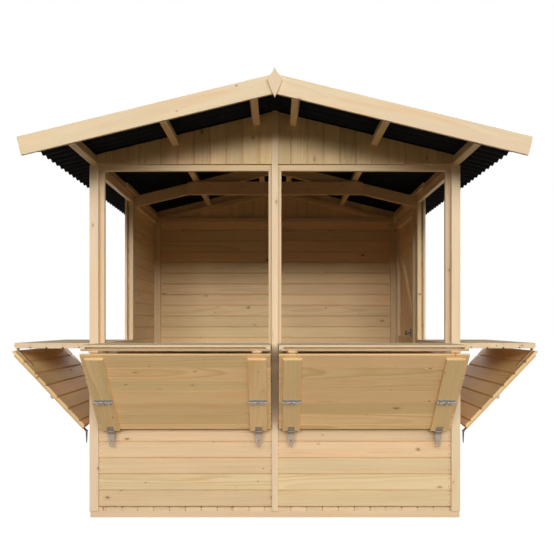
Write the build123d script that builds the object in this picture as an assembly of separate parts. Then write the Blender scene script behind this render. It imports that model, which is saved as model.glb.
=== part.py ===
from build123d import *
import os
from math import cos, pi, radians, sin, tan

# Wooden market stall, in millimetres. +Z is up and the front faces -Y.
# The origin is on the ground, at the centre of the four walls.
# Every wall is a row of framed panels: studs and rails inside, boards outside.

# Walls and framing
wall_width = 2192.0          # left to right, over the boards
wall_depth = 2200.0          # front to back, over the boards
board_thick = 16.0           # wall boards, shutter boards and battens
stud_face = 38.0             # stud or rail, width of the face that shows
stud_deep = 28.0             # stud or rail, depth into the room
joint_gap = 1.0              # between two panels or timbers that meet in line
trim_thick = 16.0            # corner trims and cover strips
trim_wide = 52.0
strip_wide = 37.0            # over the centre joints, front and back
side_strip_wide = 76.0       # over both studs of a side wall's cross joint

# Levels
bearer_high = 41.5
bearer_wide = 60.0
bearer_count = 5
floor_thick = 19.0
drip_gap = 3.5               # between the floor and the lowest wall board
sill_top = 1035.0
header_top = 2098.0
door_over = 113.0            # from the head of the doorway to the header tops

# Roof
roof_pitch = 13.7            # degrees
roof_rise = 46.0             # plane under the sheets over the header tops, at the side boards
front_overhang = 482.0       # from the boards to the back of the bargeboards
back_overhang = 182.0
eave_reach = 208.0           # sheet beyond the boards of a side wall
purlin_wide = 38.0
purlin_deep = 57.0
ridge_purlin_run = 124.0     # from the ridge to a ridge purlin's middle, down the slope
eave_purlin_inset = 15.0     # from the side boards' face in to an eave purlin's middle
splice_long = 530.0          # plate over the joint of an eave purlin
splice_high = 38.0
splice_drop = 3.0            # from the sheets' underside to the plate
rafter_wide = 38.0
rafter_deep = 78.0
gable_rafter_deep = 38.0
collar_rise = 8.0            # underside of the collar tie above the header tops
collar_high = 96.0
collar_reach = 647.0
sheet_thick = 3.0
wave_high = 30.0             # trough to crest
wave_pitch = 88.0
wave_facets = 8              # flats that make one wave
ridge_gap = 50.0             # between the top ends of the two sheets
cap_wing = 170.0
cap_flat = 22.0              # from the ridge to the bend of the cap, down the slope
barge_deep = 100.0
barge_thick = 18.0
barge_rise = 49.0            # top edge above the plane under the sheets, at the ridge
barge_reach = 259.0          # top corner of the lower end beyond the side boards
finial_thick = 16.0
finial_half_wide = 40.0
finial_high = 158.0
finial_tip_rise = 30.0       # above the bargeboards' top edge

# Shutters: an inner leaf that lies level as a counter and an outer leaf folded under it
wall_clear = 5.0             # from the wall boards to the counter's inner edge
strip_clear = 4.0            # from the cover strip to a shutter's end
trim_clear = 13.0            # from the corner trim to a front shutter's end
corner_clear = 25.0          # from the front boards' face to a side shutter's end
counter_reach = 460.0        # from the wall boards to the outer edge
counter_thick = 32.0
groove_wide = 7.0            # slot between the two layers of the outer edge
groove_deep = 6.0
groove_stop = 25.0
flap_long = 622.0
flap_angle = 46.6            # degrees below level
hinge_radius = 4.0
hinge_set_back = 3.0         # from the hinge pin to the edge of each leaf
batten_wide = 100.0
batten_inset = 22.0
strap_long = 140.0
strap_wide = 32.0
strap_thick = 2.0
barrel_long = 52.0
butt_wing = 30.0
bolt_long = 104.0            # sliding bolt across each batten
bolt_plate_high = 28.0
bolt_radius = 5.0
bolt_flats = 10              # flats that make the bolt's round
bolt_bed = 1.0               # the bolt's bed, pressed into its plate
bolt_run = 360.0             # from the hinge pin down the flap
staple_wide = 14.0
staple_high = 20.0
bolt_knob = 10.0
hasp_wide = 40.0
hasp_plate = 34.0
hasp_link = 30.0             # from the plate's knuckle to the arm's
hasp_arm = 72.0
hasp_end_wide = 26.0
hasp_slot_wide = 9.0
hasp_slot_long = 34.0
hasp_end_gap = 6.0           # from the flap's lower end to the hasp's knuckle

# Door in the right wall
door_front = 175.0           # front edge of the doorway, from the cross joint of the wall
door_rear = 232.0            # from the doorway to the back wall boards' face
door_gap = 6.0
ledge_wide = 110.0
ledge_thick = 20.0
ledge_inset = 20.0
ledge_edge = 160.0           # from the door's top or bottom to the nearest ledge's middle
ledge_drop = 30.0            # middle ledge below the door's mid height
brace_wide = 90.0
brace_lift = 90.0            # from the lock's case up to the foot of the upper brace
band_long = 320.0
band_high = 34.0
band_thick = 3.0
pin_radius = 6.0
pin_clear = 0.3
eye_radius = 9.5
pintle_high = 16.0
pintle_wing = 44.0
lock_long = 110.0
lock_high = 62.0
lock_thick = 22.0
lock_over_ledge = 4.0        # from the middle ledge up to the lock's case
knob_radius = 17.0
knob_reach = 38.0

# Sizes that follow from the ones above
x_out = wall_width / 2
y_out = wall_depth / 2
wall_thick = board_thick + stud_deep
x_in = x_out - wall_thick
x_back = x_out - board_thick
y_in = y_out - wall_thick
y_back = y_out - board_thick
floor_top = bearer_high + floor_thick
board_low = floor_top + drip_gap
header_low = header_top - stud_face
door_head = header_top - door_over
pitch = radians(roof_pitch)
roof_apex = header_top + roof_rise + x_out * tan(pitch)
collar_low = header_top + collar_rise
purlin_drop = purlin_deep / cos(pitch)
rafter_drop = (purlin_deep + rafter_deep) / cos(pitch)
roof_front = -y_out - front_overhang
roof_back = y_out + back_overhang
eave_purlin_run = (x_out - eave_purlin_inset) / cos(pitch)
mid_purlin_run = (ridge_purlin_run + eave_purlin_run) / 2
sheet_high = wave_high + sheet_thick
counter_low = sill_top - counter_thick
pin_out = counter_reach + hinge_set_back
pin_level = counter_low - hinge_radius
door_back = y_out - door_rear


def block(x0, x1, y0, y1, z0, z1):
    """A squared timber or board between two corners."""
    centre = Pos((x0 + x1) / 2, (y0 + y1) / 2, (z0 + z1) / 2)
    return centre * Box(x1 - x0, y1 - y0, z1 - z0)


def prism(points, y0, y1):
    """An outline of (x, z) points, drawn out from y0 to y1."""
    face = make_face(Polyline(*[(x, y0, z) for x, z in points], close=True))
    return extrude(face, amount=y1 - y0, dir=(0, 1, 0))


def both_sides(shape):
    """A piece on the right and its mirror image on the left."""
    return [shape, mirror(shape, about=Plane.YZ)]


def both_ends(shape):
    """A piece at the front and its mirror image at the back."""
    return [shape, mirror(shape, about=Plane.XZ)]


def roof_line(x, drop):
    """Level of the plane under the sheets, lowered by drop, at x."""
    return roof_apex - drop - abs(x) * tan(pitch)


def on_slope(run, rise):
    """(x, z) at a distance down the right-hand slope and square to it."""
    x = run * cos(pitch) + rise * sin(pitch)
    z = roof_apex - run * sin(pitch) + rise * cos(pitch)
    return x, z


def under_roof(drop, y0, y1):
    """Everything below the roof planes, lowered by drop."""
    far = x_out + eave_reach
    points = [(-far, 0), (far, 0), (far, roof_line(far, drop))]
    points += [(0, roof_line(0, drop)), (-far, roof_line(far, drop))]
    return prism(points, y0, y1)


def make_bearers():
    """Bearers on the ground, side to side."""
    pieces = []
    step = (wall_depth - bearer_wide) / (bearer_count - 1)
    for i in range(bearer_count):
        y0 = -y_out + i * step
        pieces.append(block(-x_out, x_out, y0, y0 + bearer_wide, 0, bearer_high))
    return pieces


def make_floor():
    """The boarded floor, front to back over the bearers."""
    return [block(-x_out, x_out, -y_out, y_out, bearer_high, floor_top)]


def end_posts(corner_face, corner_deep):
    """Corner and centre studs of the front or back frame, at the front."""
    inner = x_in - corner_face
    corner = block(inner, x_in, -y_back, -y_back + corner_deep, floor_top, header_low)
    centre = block(joint_gap / 2, stud_face, -y_back, -y_in, floor_top, header_low)
    return both_sides(corner) + both_sides(centre)


def end_rail(corner_face, z0, z1):
    """A rail between the corner stud and the centre stud, at the front."""
    return block(stud_face, x_in - corner_face, -y_back, -y_in, z0, z1)


def end_header():
    """The rail over the studs, from side wall to side wall, at the front."""
    header = block(-x_in, x_in, -y_back, -y_in, header_low, header_top)
    return header & under_roof(purlin_drop, -y_back, -y_in)


def end_boards(top):
    """Boards outside one half of the front frame, from the corner to the centre joint."""
    boards = block(joint_gap / 2, x_in, -y_out, -y_back, board_low, top)
    return boards & under_roof(purlin_drop, -y_out, -y_back)


def end_gable():
    """Upright gable boards at the front, cut round the purlins."""
    far = eave_purlin_run * cos(pitch)
    points = [(-far, header_top), (far, header_top), (far, roof_line(far, 0))]
    points += [(0, roof_apex), (-far, roof_line(far, 0))]
    boards = prism(points, -y_out, -y_back)
    for purlin in make_purlins():
        boards -= purlin
    return boards


def gable_rafter():
    """Sloping rail behind the gable boards, under the purlins and over the header."""
    low = purlin_drop + gable_rafter_deep / cos(pitch)
    foot = (roof_apex - low - header_top) / tan(pitch)
    toe = min((roof_apex - purlin_drop - header_top) / tan(pitch), x_in)
    points = [(joint_gap / 2, roof_line(joint_gap / 2, low)), (foot, header_top), (toe, header_top)]
    points += [(toe, roof_line(toe, purlin_drop))] if toe == x_in else []
    points += [(joint_gap / 2, roof_line(joint_gap / 2, purlin_drop))]
    return prism(points, -y_back, -y_in)


def side_stud(y0, top):
    """One stud of the right-hand wall, from y0 towards the back."""
    return block(x_in, x_back, y0, y0 + stud_face, floor_top, top)


def side_stud_top():
    """Level where the side studs meet the side header."""
    return roof_line(x_back, purlin_drop) - stud_face


def side_posts():
    """Corner studs and the pair at the cross joint, on the right."""
    top = side_stud_top()
    starts = [-y_back, -joint_gap / 2 - stud_face, joint_gap / 2, y_back - stud_face]
    return [side_stud(y0, top) for y0 in starts]


def side_rail(y0, y1, z0, z1):
    """A rail of the right-hand wall."""
    return block(x_in, x_back, y0, y1, z0, z1)


def side_window_rails():
    """Bottom and sill rails under the right-hand window."""
    y0 = -y_back + stud_face
    y1 = -joint_gap / 2 - stud_face
    bottom = side_rail(y0, y1, floor_top, floor_top + stud_face)
    sill = side_rail(y0, y1, sill_top - stud_face, sill_top)
    return [bottom, sill]


def side_headers():
    """Headers over the studs on the right, with tops cut to the slope under the purlins."""
    low = side_stud_top()
    cut = under_roof(purlin_drop, -y_out, y_out)
    front = side_rail(-y_back, -joint_gap / 2, low, header_top + stud_face) & cut
    back = side_rail(joint_gap / 2, y_back, low, header_top + stud_face) & cut
    return [front, back]


def side_rear_rail():
    """Bottom rail of the closed rear panel, on the right."""
    y0 = joint_gap / 2 + stud_face
    return side_rail(y0, y_back - stud_face, floor_top, floor_top + stud_face)


def side_boards(y0, y1, z0, z1):
    """Boards outside the right-hand frame, cut under the eave purlin."""
    boards = block(x_back, x_out, y0, y1, z0, z1)
    return boards & under_roof(purlin_drop, -y_out, y_out)


def door_posts():
    """Studs at both sides of the doorway."""
    top = side_stud_top()
    return [side_stud(door_front - stud_face, top), side_stud(door_back, top)]


def door_rails():
    """Rail over the doorway and the short bottom rails beside it."""
    first = joint_gap / 2 + stud_face
    last = y_back - stud_face
    low = floor_top + stud_face
    over = side_rail(door_front, door_back, door_head, door_head + stud_face)
    before = side_rail(first, door_front - stud_face, floor_top, low)
    after = side_rail(door_back + stud_face, last, floor_top, low)
    return [over, before, after]


def door_wall():
    """Boards in front of, over and behind the doorway."""
    before = side_boards(joint_gap / 2, door_front, board_low, header_top)
    over = side_boards(door_front, door_back, door_head, header_top)
    after = side_boards(door_back, y_out, board_low, header_top)
    return before, over, after


def corner_trim():
    """Flat trim on the front boards at the right corner, cut under the eave purlin."""
    y0 = -y_out - trim_thick
    trim = block(x_out - trim_wide, x_out, y0, -y_out, bearer_high, header_top)
    return trim & under_roof(purlin_drop, y0, -y_out)


def make_trims():
    """Corner trims on all four corners."""
    pieces = []
    for trim in both_sides(corner_trim()):
        pieces += both_ends(trim)
    return pieces


def make_strips():
    """Cover strips over the panel joints, one on each wall."""
    half = strip_wide / 2
    front = block(-half, half, -y_out - trim_thick, -y_out, bearer_high, roof_apex)
    front &= under_roof(0, -y_out - trim_thick, -y_out)
    side_half = side_strip_wide / 2
    side = block(x_out, x_out + trim_thick, -side_half, side_half, bearer_high, header_top)
    side &= under_roof(purlin_drop, -side_half, side_half)
    return both_ends(front) + both_sides(side)


def sloped_bar(up, down, high, low, y0, y1):
    """Bar along the right-hand slope between two runs and two rises."""
    corners = [on_slope(up, high), on_slope(down, high), on_slope(down, low), on_slope(up, low)]
    return prism(corners, y0, y1)


def make_purlins():
    """Three purlins on each slope, each in two lengths that meet over the truss."""
    pieces = []
    for run in (ridge_purlin_run, mid_purlin_run, eave_purlin_run):
        up = run - purlin_wide / 2
        down = run + purlin_wide / 2
        front = sloped_bar(up, down, 0, -purlin_deep, roof_front, -joint_gap / 2)
        back = sloped_bar(up, down, 0, -purlin_deep, joint_gap / 2, roof_back)
        pieces += both_sides(front) + both_sides(back)
    return pieces


def make_splices():
    """Plates over the joints of the eave purlins, on their inner sides."""
    down = eave_purlin_run - purlin_wide / 2
    up = down - board_thick
    low = -splice_drop - splice_high
    plate = sloped_bar(up, down, -splice_drop, low, -splice_long / 2, splice_long / 2)
    return both_sides(plate)


def make_rafters():
    """The pair of rafters across the middle of the room, between the side studs."""
    top = joint_gap / 2
    points = [(top, roof_line(top, purlin_drop)), (x_in, roof_line(x_in, purlin_drop))]
    points += [(x_in, roof_line(x_in, rafter_drop)), (top, roof_line(top, rafter_drop))]
    return both_sides(prism(points, -rafter_wide / 2, rafter_wide / 2))


def make_collar():
    """Collar tie on the front of the rafters, its upper corners cut to the slope."""
    y1 = -rafter_wide / 2
    y0 = y1 - stud_deep
    tie = block(-collar_reach, collar_reach, y0, y1, collar_low, collar_low + collar_high)
    return tie & under_roof(purlin_drop, y0, y1)


def wave_line(length, start_up):
    """Zigzag of flats that follows the waves, in (along, up) points, from trough to trough."""
    count = wave_facets * round(length / wave_pitch)
    points = []
    for i in range(count + 1):
        up = wave_high / 2 * (1 - cos(2 * pi * i / wave_facets))
        points.append((length * i / count, start_up + up))
    return points


def roof_sheet():
    """Corrugated sheet on the right-hand slope, its waves running down the slope."""
    length = roof_back - roof_front
    start = ridge_gap / 2 / cos(pitch)
    run = (x_out + eave_reach) / cos(pitch) - start
    outline = wave_line(length, 0) + wave_line(length, sheet_thick)[::-1]
    corners = []
    for along, up in outline:
        x, z = on_slope(start, up)
        corners.append((x, roof_front + along, z))
    face = make_face(Polyline(*corners, close=True))
    return extrude(face, amount=run, dir=(cos(pitch), 0, -sin(pitch)))


def ridge_cap():
    """Bent cap over the top ends of both sheets, flat along the ridge."""
    low = sheet_high
    high = sheet_high + sheet_thick
    right = [on_slope(cap_flat, high), on_slope(cap_wing, high)]
    right += [on_slope(cap_wing, low), on_slope(cap_flat, low)]
    left = [(-x, z) for x, z in right[::-1]]
    return prism(right + left, roof_front, roof_back)


def bargeboard():
    """Right-hand bargeboard at the front, its lower end cut square to the slope."""
    lift = barge_rise * cos(pitch)
    far = (x_out + barge_reach - lift * sin(pitch)) / cos(pitch)
    mitre = joint_gap / 2
    drop = barge_deep / cos(pitch) - barge_rise
    points = [(mitre, roof_line(mitre, -barge_rise)), on_slope(far, lift)]
    points += [on_slope(far, lift - barge_deep), (mitre, roof_line(mitre, drop))]
    return prism(points, roof_front - barge_thick, roof_front)


def finial():
    """Turned-down leaf shape in front of the joint of the bargeboards."""
    tip = roof_apex + barge_rise + finial_tip_rise
    foot = tip - finial_high
    wide = tip - finial_high * 0.4
    shoulder = tip - finial_high * 0.3
    y = roof_front - barge_thick
    edges = []
    for side in (-1, 1):
        upper_mid = (side * finial_half_wide * 0.28, y, (tip + shoulder) / 2)
        neck = (side * finial_half_wide * 0.8, y, shoulder)
        widest = (side * finial_half_wide, y, wide)
        lower_mid = (side * finial_half_wide * 0.56, y, (wide + foot) / 2)
        edges.append(ThreePointArc((0, y, tip), upper_mid, neck))
        edges.append(Line(neck, widest))
        edges.append(ThreePointArc(widest, lower_mid, (0, y, foot)))
    return extrude(make_face(edges), amount=finial_thick, dir=(0, -1, 0))


def rear_pair(front_shape, shift):
    """A bargeboard piece at the front and its mirror image at the back end of the roof."""
    back = Pos(0, shift, 0) * mirror(front_shape, about=Plane.XZ)
    return front_shape, back


# Shutter pieces are drawn for one opening in the front wall: its middle is at x = 0,
# the face of the boards is the plane y = 0 and the shutter stands out towards -Y.

front_start = strip_wide / 2 + strip_clear
front_leaf_wide = x_out - trim_wide - trim_clear - front_start
side_start = side_strip_wide / 2 + strip_clear
side_leaf_wide = y_out - corner_clear - side_start


def shutter_point(run, rise):
    """(y, z) down the flap from the hinge pin, and square to it on the batten side."""
    lean = radians(flap_angle)
    y = -pin_out + run * cos(lean) - rise * sin(lean)
    z = pin_level - run * sin(lean) - rise * cos(lean)
    return y, z


def flap_bar(corners, x0, x1):
    """A bar across the flap, its section given in (run, rise) points."""
    outline = [(x0,) + shutter_point(run, rise) for run, rise in corners]
    return extrude(make_face(Polyline(*outline, close=True)), amount=x1 - x0, dir=(1, 0, 0))


def flap_prism(run0, run1, rise0, rise1, x0, x1):
    """A squared piece on the flap, between distances along and square to it."""
    corners = [(run0, rise0), (run1, rise0), (run1, rise1), (run0, rise1)]
    return flap_bar(corners, x0, x1)


def counter_leaf(wide):
    """Level leaf in two layers, with a stopped slot along its outer edge."""
    half = wide / 2
    leaf = block(-half, half, -counter_reach, -wall_clear, counter_low, sill_top)
    middle = sill_top - counter_thick / 2
    slot_half = half - groove_stop
    slot = block(-slot_half, slot_half, -counter_reach - 1, -counter_reach + groove_deep,
                 middle - groove_wide / 2, middle + groove_wide / 2)
    return leaf - slot


def flap_leaf(wide):
    """Boarded outer leaf, folded under the counter."""
    start = hinge_set_back
    return flap_prism(start, start + flap_long, hinge_radius, hinge_radius + board_thick,
                      -wide / 2, wide / 2)


def batten_middle(wide):
    """Distance from the opening's middle to a batten's middle."""
    return wide / 2 - batten_inset - batten_wide / 2


def flap_battens(wide):
    """Two battens across the flap's boards."""
    low = hinge_radius + board_thick
    start = hinge_set_back + batten_inset
    x0 = batten_middle(wide) - batten_wide / 2
    end = hinge_set_back + flap_long
    return both_sides(flap_prism(start, end, low, low + board_thick, x0, x0 + batten_wide))


def sill_hinges(wide):
    """Butt hinges in the corner between the wall boards and the underside of the counter."""
    x0 = batten_middle(wide) - barrel_long / 2
    x1 = x0 + barrel_long
    level = counter_low - hinge_radius
    on_wall = block(x0, x1, -strap_thick, 0, level - butt_wing, level)
    under_leaf = block(x0, x1, -hinge_radius - butt_wing, -hinge_radius, counter_low - strap_thick, counter_low)
    axle = Pos(x0 + barrel_long / 2, -hinge_radius, level)
    barrel = axle * Rot(0, 90, 0) * Cylinder(hinge_radius, barrel_long)
    return both_sides(on_wall + under_leaf + barrel)


def flap_hinges(wide):
    """Strap hinges under the counter and on the flap, with the barrel at the fold."""
    middle = batten_middle(wide)
    x0 = middle - strap_wide / 2
    x1 = middle + strap_wide / 2
    upper = block(x0, x1, -pin_out, -pin_out + strap_long, counter_low - strap_thick, counter_low)
    lower = flap_prism(0, strap_long, hinge_radius - strap_thick, hinge_radius, x0, x1)
    barrel = Pos(middle, -pin_out, pin_level) * Rot(0, 90, 0) * Cylinder(hinge_radius, barrel_long)
    return both_sides(upper + barrel + lower)


def flap_bolts(wide):
    """Sliding bolt across each batten: plate, round bolt, two staples and a knob."""
    base = hinge_radius + 2 * board_thick
    top = base + strap_thick
    middle = batten_middle(wide)
    x0 = middle - bolt_long / 2
    x1 = middle + bolt_long / 2
    half = bolt_plate_high / 2
    bolt = flap_prism(bolt_run - half, bolt_run + half, base, top, x0, x1)
    corners = []
    for i in range(bolt_flats):
        turn = 2 * pi * (i + 0.5) / bolt_flats
        rise = top + bolt_radius - bolt_bed + bolt_radius * cos(turn)
        corners.append((bolt_run + bolt_radius * sin(turn), rise))
    bolt += flap_bar(corners, x0, x1)
    half = staple_high / 2
    roof = top + 2 * bolt_radius + strap_thick
    for left in (x0 + staple_wide, x1 - 2 * staple_wide):
        bolt += flap_prism(bolt_run - half, bolt_run + half, top, roof, left, left + staple_wide)
    half = bolt_knob / 2
    bolt += flap_prism(bolt_run - half, bolt_run + half, top + bolt_radius, roof + bolt_knob,
                       middle - half, middle + half)
    return both_sides(bolt)


def hasps(wide):
    """Jointed hasp on each batten at the flap's lower end: plate, link and hanging slotted arm."""
    base = hinge_radius + 2 * board_thick
    end = hinge_set_back + flap_long - hasp_end_gap
    middle = batten_middle(wide)
    half = hasp_wide / 2
    x0 = middle - half
    x1 = middle + half
    level = base + hinge_radius
    link_end = end + hasp_link
    hasp = flap_prism(end - hasp_plate, end, base, base + strap_thick, x0, x1)
    hasp += flap_prism(end, link_end, level - strap_thick / 2, level + strap_thick / 2, x0, x1)
    for run in (end, link_end):
        y, z = shutter_point(run, level)
        hasp += Pos(middle, y, z) * Rot(0, 90, 0) * Cylinder(hinge_radius, hasp_wide)
    foot = z - hasp_arm
    tip = hasp_end_wide / 2
    outline = [(x0, z), (x1, z), (middle + tip, foot + tip), (middle + tip / 2, foot)]
    outline += [(middle - tip / 2, foot), (middle - tip, foot + tip)]
    arm = prism(outline, y - strap_thick / 2, y + strap_thick / 2)
    slot_top = foot + tip / 2 + hasp_slot_long
    slot = block(middle - hasp_slot_wide / 2, middle + hasp_slot_wide / 2,
                 y - strap_thick, y + strap_thick, foot + tip / 2, slot_top)
    return both_sides(hasp + (arm - slot))


def place_front(pieces):
    """Pieces of one shutter set, at both front openings."""
    centre = front_start + front_leaf_wide / 2
    right = [Pos(centre, -y_out, 0) * piece for piece in pieces]
    return right + [mirror(piece, about=Plane.YZ) for piece in right]


def place_sides(pieces):
    """Pieces of one shutter set, at the opening of each side wall."""
    centre = -side_start - side_leaf_wide / 2
    right = [Pos(x_out, centre, 0) * Rot(0, 0, 90) * piece for piece in pieces]
    return right + [mirror(piece, about=Plane.YZ) for piece in right]


def all_shutters(make):
    """One kind of shutter fitting at all four openings."""
    return place_front(make(front_leaf_wide)) + place_sides(make(side_leaf_wide))


# Door pieces are drawn in place, shut, in the rear half of the right wall.

door_y0 = door_front + door_gap
door_y1 = door_back - door_gap
door_z0 = floor_top + door_gap
door_z1 = door_head - door_gap
hinge_x = x_out + eye_radius
hinge_y = door_back - door_gap / 2
ledge_levels = [door_z0 + ledge_edge, (door_z0 + door_z1) / 2 - ledge_drop, door_z1 - ledge_edge]
lock_level = ledge_levels[1] + ledge_wide / 2 + lock_over_ledge + lock_high / 2


def door_leaf():
    """Upright boards of the door."""
    return block(x_back, x_out, door_y0, door_y1, door_z0, door_z1)


def door_ledges():
    """Three ledges across the inside of the door."""
    y0 = door_y0 + ledge_inset
    y1 = door_y1 - ledge_inset
    x0 = x_back - ledge_thick
    half = ledge_wide / 2
    return [block(x0, x_back, y0, y1, z - half, z + half) for z in ledge_levels]


def door_braces():
    """Braces that rise from the lock side to the hinge side, between the ledges."""
    pieces = []
    x0 = x_back - ledge_thick
    for low, high in zip(ledge_levels[:-1], ledge_levels[1:]):
        z0 = low + ledge_wide / 2 + joint_gap
        z1 = high - ledge_wide / 2 - joint_gap
        y0 = door_y0 + ledge_inset
        y1 = door_y1 - ledge_inset
        if low == ledge_levels[1]:
            z0 += lock_over_ledge + lock_high + brace_lift
        points = [(x0, y0, z0), (x0, y0 + brace_wide, z0), (x0, y1, z1), (x0, y1 - brace_wide, z1)]
        face = make_face(Polyline(*points, close=True))
        pieces.append(extrude(face, amount=ledge_thick, dir=(1, 0, 0)))
    return pieces


def door_bands():
    """Strap hinges on the outside of the door, each with an eye for its pin."""
    pieces = []
    for z in ledge_levels:
        half = band_high / 2
        tail = door_y1 - band_long
        strap = block(x_out, x_out + band_thick, tail, hinge_y, z - half, z + half)
        eye = Pos(hinge_x, hinge_y, z) * Cylinder(eye_radius, band_high)
        bore = Pos(hinge_x, hinge_y, z) * Cylinder(pin_radius + pin_clear, 2 * band_high)
        pieces.append(strap + eye - bore)
    return pieces


def door_pintles():
    """Pins that carry the strap hinges, on plates beside the doorway."""
    pieces = []
    for z in ledge_levels:
        top = z - band_high / 2 - pin_clear
        low = top - pintle_high
        seat = Pos(hinge_x, hinge_y, (top + low) / 2) * Cylinder(eye_radius, pintle_high)
        pin_top = z + band_high / 2
        pin = Pos(hinge_x, hinge_y, (top + pin_top) / 2) * Cylinder(pin_radius, pin_top - top)
        plate = block(x_out, x_out + band_thick, door_back, door_back + pintle_wing, low, top)
        neck = block(x_out, x_out + band_thick, hinge_y, door_back, low, top)
        pieces.append(plate + neck + seat + pin)
    return pieces


def door_lock():
    """Rim lock inside the front edge of the door, with a knob."""
    y0 = door_y0
    x1 = x_back
    x0 = x1 - lock_thick
    half = lock_high / 2
    case = block(x0, x1, y0, y0 + lock_long, lock_level - half, lock_level + half)
    knob_y = y0 + lock_long * 0.7
    stem = Pos(x0 - knob_reach / 2, knob_y, lock_level) * Rot(0, 90, 0)
    stem = stem * Cylinder(knob_radius / 3, knob_reach)
    knob = Pos(x0 - knob_reach, knob_y, lock_level) * Rot(0, 90, 0)
    return case + stem + knob * Cylinder(knob_radius, knob_reach / 3)


def lock_keeper():
    """Keeper of the rim lock, on the stud in front of the doorway."""
    half = lock_high / 2
    y1 = door_front
    x1 = x_in
    return block(x1 - lock_thick / 2, x1, y1 - stud_face * 0.8, y1, lock_level - half, lock_level + half)


front_posts = end_posts(stud_face, stud_deep)
front_bottom_rail = end_rail(stud_face, floor_top, floor_top + stud_face)
front_sill_rail = end_rail(stud_face, sill_top - stud_face, sill_top)
back_posts = end_posts(stud_deep, stud_face)
back_rails = both_sides(end_rail(stud_deep, floor_top, floor_top + stud_face)) + [end_header()]
left_rails = side_window_rails() + [side_rear_rail()]
gable_pair = both_sides(gable_rafter())
low_boards = side_boards(-y_out, -joint_gap / 2, board_low, sill_top)
rear_boards = side_boards(joint_gap / 2, y_out, board_low, header_top)
wall_before_door, wall_over_door, wall_after_door = door_wall()
front_barge, back_barge = rear_pair(bargeboard(), roof_back + roof_front)
front_finial, back_finial = rear_pair(finial(), roof_back + roof_front)


def at_back(pieces):
    """Front pieces turned into their mirror images at the back wall."""
    return [mirror(piece, about=Plane.XZ) for piece in pieces]


def at_left(pieces):
    """Right-hand pieces turned into their mirror images on the left."""
    return [mirror(piece, about=Plane.YZ) for piece in pieces]


nodes = {
    "floor_bearers": make_bearers(),
    "floor_boards": make_floor(),
    "front_posts": front_posts,
    "front_rails": both_sides(front_bottom_rail) + both_sides(front_sill_rail) + [end_header()],
    "front_wall": both_sides(end_boards(sill_top)),
    "front_gable": [end_gable()],
    "back_posts": at_back(back_posts),
    "back_rails": at_back(back_rails),
    "back_wall": at_back(both_sides(end_boards(header_top))),
    "back_gable": at_back([end_gable()]),
    "gable_rafters": gable_pair + at_back(gable_pair),
    "right_posts": side_posts(),
    "right_rails": side_window_rails(),
    "left_posts": at_left(side_posts()),
    "left_rails": at_left(left_rails),
    "side_headers": side_headers() + at_left(side_headers()),
    "right_wall_low": [low_boards],
    "left_wall_low": at_left([low_boards]),
    "left_wall_rear": at_left([rear_boards]),
    "wall_before_door": [wall_before_door],
    "wall_over_door": [wall_over_door],
    "wall_after_door": [wall_after_door],
    "door_posts": door_posts(),
    "door_frame_rails": door_rails(),
    "corner_trims": make_trims(),
    "cover_strips": make_strips(),
    "purlins": make_purlins(),
    "purlin_splices": make_splices(),
    "truss_rafters": make_rafters(),
    "collar_tie": [make_collar()],
    "roof_sheet_right": [roof_sheet()],
    "roof_sheet_left": at_left([roof_sheet()]),
    "ridge_cap": [ridge_cap()],
    "front_bargeboards": both_sides(front_barge),
    "back_bargeboards": both_sides(back_barge),
    "finials": [front_finial, back_finial],
    "front_counters": place_front([counter_leaf(front_leaf_wide)]),
    "side_counters": place_sides([counter_leaf(side_leaf_wide)]),
    "front_flaps": place_front([flap_leaf(front_leaf_wide)]),
    "side_flaps": place_sides([flap_leaf(side_leaf_wide)]),
    "front_flap_battens": place_front(flap_battens(front_leaf_wide)),
    "side_flap_battens": place_sides(flap_battens(side_leaf_wide)),
    "sill_hinges": all_shutters(sill_hinges),
    "flap_hinges": all_shutters(flap_hinges),
    "flap_bolts": all_shutters(flap_bolts),
    "flap_hasps": all_shutters(hasps),
    "door_leaf": [door_leaf()],
    "door_ledges": door_ledges() + door_braces(),
    "door_bands": door_bands(),
    "door_lock": [door_lock()],
    "door_pintles": door_pintles(),
    "lock_keeper": [lock_keeper()],
}

os.makedirs("parts", exist_ok=True)
for name, pieces in nodes.items():
    solids = [solid for piece in pieces for solid in piece.solids()]
    export_step(Compound(children=solids), "parts/" + name + ".step")
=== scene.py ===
import math
import random

import bmesh
import bpy
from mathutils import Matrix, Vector


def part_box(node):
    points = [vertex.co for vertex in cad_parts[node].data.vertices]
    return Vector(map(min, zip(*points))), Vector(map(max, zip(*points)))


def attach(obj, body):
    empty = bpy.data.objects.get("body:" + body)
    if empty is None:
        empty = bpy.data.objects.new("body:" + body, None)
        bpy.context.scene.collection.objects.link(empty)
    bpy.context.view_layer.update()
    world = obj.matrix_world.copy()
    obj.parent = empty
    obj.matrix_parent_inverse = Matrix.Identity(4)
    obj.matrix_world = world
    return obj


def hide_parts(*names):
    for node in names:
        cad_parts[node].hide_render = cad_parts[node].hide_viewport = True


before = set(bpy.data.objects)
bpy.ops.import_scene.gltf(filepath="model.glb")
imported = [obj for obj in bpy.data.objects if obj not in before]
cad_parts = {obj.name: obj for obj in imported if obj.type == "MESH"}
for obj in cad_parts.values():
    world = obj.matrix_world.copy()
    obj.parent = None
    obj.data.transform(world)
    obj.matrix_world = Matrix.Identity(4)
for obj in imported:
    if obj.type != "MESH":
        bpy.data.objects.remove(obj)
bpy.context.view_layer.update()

# ---------------------------------------------------------------- floor
# Planed pine boards, 19 mm thick, nailed front to back over the bearers in two panels that meet in
# the middle. Each panel starts with a full board, and its last one is sawn to what is left.

STALL = "stall"
ALONG_X = Vector((1, 0, 0))
ALONG_Y = Vector((0, 1, 0))
UP = Vector((0, 0, 1))
dice = random.Random(7)


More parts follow.
